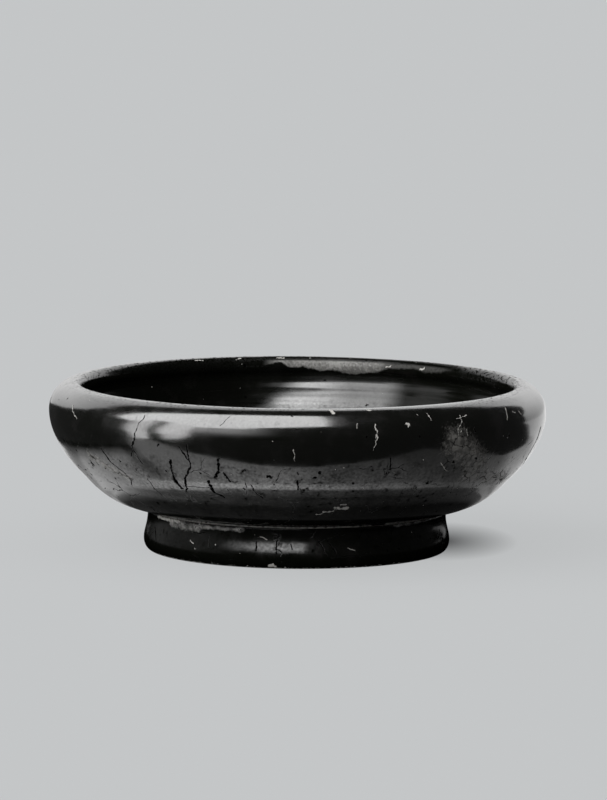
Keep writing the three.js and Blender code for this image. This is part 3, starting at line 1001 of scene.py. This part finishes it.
footPanes = {                # a low light that only the side of the foot catches, and a faint one beside it
    "distance": 1.0,         # m
    "panes": [
        ([(-57, 12), (6, 12), (6, 27), (-57, 27)], 9, (-78, -2), (12, 18)),
        ([(-150, -14), (-57, -14), (-57, 26), (-150, 26)], 0.22, (-150, -120), (-14, -6)),
    ],
}

leftGround = {
    "corners": [[(-0.118, -0.11), (-0.146, -0.139), (-0.792, -0.691), (-0.94, -0.455), (-0.178, -0.117),
                 (-0.137, -0.096), (-0.118, -0.088)],
                [(-0.121, -0.07), (-0.124, -0.052), (-1.03, -0.113), (-0.985, -0.352)]],    # m
    "strength": [4.4, 4.6],
}

backLook = {
    "distance": 0.42,        # m behind the axis
    "corners": [(0.55, 0), (0.57, 0.112), (0.486, 0.171), (0.415, 0.234), (0.41, 0.36), (0.4, 0.46),
                (0.33, 0.5), (0.07, 0.46), (0, 0.52), (-0.12, 0.6), (-0.3, 0.58), (-0.73, 0.62),
                (-0.73, 0.34), (-0.435, 0.12), (-0.15, 0.0)],   # m
    "strength": (0.85, 1.7), # at the foot of the card and at its top
    "rise": (0.03, 0.2),     # m, between which it brightens
}

padLook = {                  # the ground round the bowl, in m
    "near": [(-0.115, -0.0695), (0.078, -0.0695), (0.078, 0), (0.088, 0.03), (0.096, 0.048), (0.112, 0.061),
             (0.105, 0.07), (-0.09, 0.07), (-0.09, -0.042), (-0.115, -0.042)],
    "far": [(-0.075, 0.07), (0.105, 0.07), (0.112, 0.061), (0.137, 0.077), (0.19, 0.123), (0.6, 0.42),
            (-0.06, 0.42)],
    "hidden": (0.0465, 0.0501),         # radius of the ground in the bowl's own shade, left and right
    "hiddenEnd": (0.0492, 0.0503),      # where that shade has cleared
    "hiddenTurn": (-0.04, -0.02),       # between which left turns to right
    "shade": (0.0435, 0.0482),          # radius, between which the shade clears a little
    "shadeShare": (0.05, 0.35),
    "strength": (0.9, 0.285),           # left and right
    "turn": (-0.012, 0.025),            # between which it dims
    "rear": (0.0, 0.014),    # between which it brightens towards the back
    "rearRadius": (0.0575, 0.0615),     # and outside this
    "rearGain": 2.4,
    "rearLeft": (0.006, 0.02),          # where it dims to the rear on the left, near the bowl and farther
    "rearLeftRadius": (0.051, 0.056),   # radius for those two
    "rearLeftFade": 0.006,
    "rearLeftShare": 0.45,
    "frontRight": (0.038, 0.05),        # between which it dims to the right
    "frontEnd": (-0.025, -0.005),       # between which that ends
    "frontRightShare": 0.55,
    "ring": 0.054,           # radius of a brighter line round the shade
    "ringGain": 1.3,
    "ringLeft": (-0.05, -0.03),         # between which the line starts
    "ringRight": (0.03, 0.045),         # between which it weakens
    "ringRightShare": 0.3,
    "leftEnd": (-0.084, -0.068),        # between which the light on the ground starts
    "leftEndFront": -0.042,  # in front of this it reaches further
    "streak": -0.0365,       # a dark streak across the left end
    "streakWidth": (0.006, 0.003),
    "streakFrom": (-0.038, -0.046),
    "streakDepth": -0.65,
    "farStrength": 1.1,
    "footStrength": 0.36,    # what the side of the foot sees of it
}


def makeFloor(look):
    half = look["floorSize"] / 2
    corners = [(-half, -half, 0), (half, -half, 0), (half, half, 0), (-half, half, 0)]
    floor = newObject("floor", corners, [], [(0, 1, 2, 3)])
    material, add, shader = newMaterial("paleFloor")
    rays = add("LightPath").node.outputs
    seen = add("Math.ADD", [rays["Is Camera Ray"], rays["Is Glossy Ray"]])
    seen = add("Math.ADD", [seen, rays["Is Transmission Ray"]])
    lift = add("Math.MULTIPLY", [seen, look["floorLift"] / linear(look["floorColour"])[1]])
    # painted shadow: the floor's glow is lowered beside the foot, on top of any real shadow
    aside = add("VectorMath.SUBTRACT", [add("TexCoord", None, "Object"), look["paintedShadow"]])
    wide, deep = look["paintedShadowReach"]
    spread = add("VectorMath.MULTIPLY", [aside, (1 / wide, 1 / deep, 0)])
    away = add("VectorMath.LENGTH", [spread], "Value")
    shadowPainted = add("MapRange", [away, 0.0, 1.0, look["paintedShadowLift"], 1.0])
    lift = add("Math.MULTIPLY", [lift, shadowPainted])
    fill(shader, {"Base Color": linear(look["floorDiffuse"]), "Roughness": look["floorRoughness"],
                  "Specular IOR Level": 0, "Emission Color": linear(look["floorColour"]),
                  "Emission Strength": lift})
    floor.data.materials.append(material)
    floor.visible_glossy = False


def makeSun(name, azimuth, elevation, spread, strength):
    data = bpy.data.lights.new(name, "SUN")
    data.energy = strength
    data.angle = math.radians(spread)
    lamp = bpy.data.objects.new(name, data)
    bpy.context.scene.collection.objects.link(lamp)
    lamp.rotation_euler = direction(azimuth, elevation).to_track_quat("Z", "Y").to_euler()
    lamp.visible_glossy = False


def makeCard(name, corners, glow, only=None, clear=False):
    # a shape that shows in reflections alone, on all pieces or only one; glow gives its strength
    # what lies behind a clear card shows through it
    card = newObject(name, corners, [], [tuple(range(len(corners)))])
    material = bpy.data.materials.new(name)
    material.use_nodes = True
    material.node_tree.nodes.clear()
    add = partial(addNode, material.node_tree)
    light = add("Emission", {"Color": (1, 1, 1, 1), "Strength": glow(add)})
    if clear:
        light = add("AddShader", [light, add("BsdfTransparent")])
    add("OutputMaterial", [light])
    card.data.materials.append(material)
    for ray in ("camera", "diffuse", "shadow", "transmission", "volume_scatter"):
        setattr(card, "visible_" + ray, False)
    if only is not None:
        card.light_linking.receiver_collection = bpy.data.collections.new(name)
        card.light_linking.receiver_collection.objects.link(only)


def backGlow(look, add):
    height = add("SeparateXYZ", [add("TexCoord", None, "Object")], 2)
    return add("MapRange", [height, *look["rise"], *look["strength"]])


def padGlow(look, add):
    place = add("TexCoord", None, "Object")
    x, y = add("SeparateXYZ", [place]).node.outputs[:2]
    left, right = look["strength"]
    radius = add("VectorMath.LENGTH", [place], "Value")
    outer = add("MapRange", [radius, *look["rearRadius"], right, right * look["rearGain"]])
    rear = add("MapRange", [y, *look["rear"], right, outer])
    dimFrom = add("MapRange", [radius, *look["rearLeftRadius"], *look["rearLeft"]])
    dimPast = add("Math.SUBTRACT", [y, dimFrom])
    rearLeft = add("MapRange", [dimPast, 0.0, look["rearLeftFade"], left, left * look["rearLeftShare"]])
    strength = add("MapRange", [x, *look["turn"], rearLeft, rear])
    aside = add("MapRange", [x, *look["frontRight"], 1.0, look["frontRightShare"]])
    dimmed = add("MapRange", [y, *look["frontEnd"], aside, 1.0])
    strength = add("Math.MULTIPLY", [strength, dimmed])
    # shade close to the foot, with a brighter line round it
    hidden = add("MapRange", [x, *look["hiddenTurn"], *look["hidden"]])
    cleared = add("MapRange", [x, *look["hiddenTurn"], *look["hiddenEnd"]])
    lit = add("MapRange", [radius, hidden, cleared])
    shade = add("MapRange", [radius, *look["shade"], *look["shadeShare"]])
    share = add("Math.MAXIMUM", [lit, shade])
    ring = add("Math.LESS_THAN", [radius, look["ring"]])
    ring = add("Math.MULTIPLY", [ring, lit])
    ringEnd = add("MapRange", [x, *look["ringRight"], 1.0, look["ringRightShare"]])
    ring = add("Math.MULTIPLY", [ring, ringEnd])
    ringStart = add("MapRange", [x, *look["ringLeft"], 0.0, look["ringGain"]])
    gain = add("Math.MULTIPLY_ADD", [ring, ringStart, share])
    bright = add("Math.MULTIPLY", [strength, gain])
    # the left end stops short and has a streak across it
    nearer = add("Math.LESS_THAN", [y, look["leftEndFront"]])
    started = add("MapRange", [x, *look["leftEnd"]])
    kept = add("Math.MAXIMUM", [started, nearer])
    gap = add("Math.SUBTRACT", [y, look["streak"]])
    gap = add("Math.ABSOLUTE", [gap])
    streak = add("MapRange", [gap, *look["streakWidth"], 0.0, look["streakDepth"]])
    streakStart = add("MapRange", [x, *look["streakFrom"]])
    kept = add("Math.MULTIPLY_ADD", [streak, streakStart, kept], use_clamp=True)
    return add("Math.MULTIPLY", [bright, kept])


def paneGlow(strength, azimuths, elevations, add):
    place = add("TexCoord", None, "Object")
    x, y, z = add("SeparateXYZ", [place]).node.outputs
    far = add("VectorMath.LENGTH", [place], "Value")
    rise = add("Math.DIVIDE", [z, far])
    elevation = add("Math.ARCSINE", [rise])
    for angle, limits in ((azimuthOf(add, x, y), azimuths), (elevation, elevations)):
        start, end = (math.radians(a) for a in limits)
        share = add("MapRange", [angle, start, end], interpolation_type="SMOOTHSTEP")
        strength = add("Math.MULTIPLY", [share, strength])
    return strength


def windowPlace(look):
    way = direction(*look["facing"])
    turn = (-way).to_track_quat("Z", "Y").to_matrix() @ Matrix.Rotation(math.radians(look["roll"]), 3, "Z")
    return Matrix.Translation(way * look["distance"]) @ turn.to_4x4()


def makePanes(name, look, only, clear):
    for number, (corners, *glow) in enumerate(look["panes"]):
        places = [direction(a, e) * look["distance"] for a, e in corners]
        makeCard(name + str(number), places, partial(paneGlow, *glow), only, clear)


makeFloor(stageLook)
for name, sun in stageLook["suns"].items():
    makeSun(name + "Sun", *sun)
hung = windowPlace(windowLook)
makeCard("windowPane", [hung @ Vector((x, y, 0)) for x, y in windowLook["corners"]],
         lambda add: windowLook["strength"])
makePanes("leftPane", leftPanes, wallGloss, False)
makePanes("footPane", footPanes, footGloss, True)
low = stageLook["cardHeight"]
for number, (patch, strength) in enumerate(zip(leftGround["corners"], leftGround["strength"])):
    makeCard("leftGround%d" % number, [(x, y, low) for x, y in patch], lambda add: strength, wallGloss)
makeCard("backCard", [(x, backLook["distance"], z) for x, z in backLook["corners"]],
         partial(backGlow, backLook), wallGloss)
makeCard("nearGround", [(x, y, low) for x, y in padLook["near"]], partial(padGlow, padLook), wallGloss)
makeCard("farGround", [(x, y, low) for x, y in padLook["far"]], lambda add: padLook["farStrength"], wallGloss)
makeCard("footGround", [(x, y, stageLook["footCardHeight"]) for x, y in padLook["far"]],
         lambda add: padLook["footStrength"], footGloss, True)
room = bpy.data.worlds.new("room")
bpy.context.scene.world = room
room.use_nodes = True
fill(room.node_tree.nodes["Background"], {"Color": (1, 1, 1, 1), "Strength": stageLook["world"]})
print("stage set")
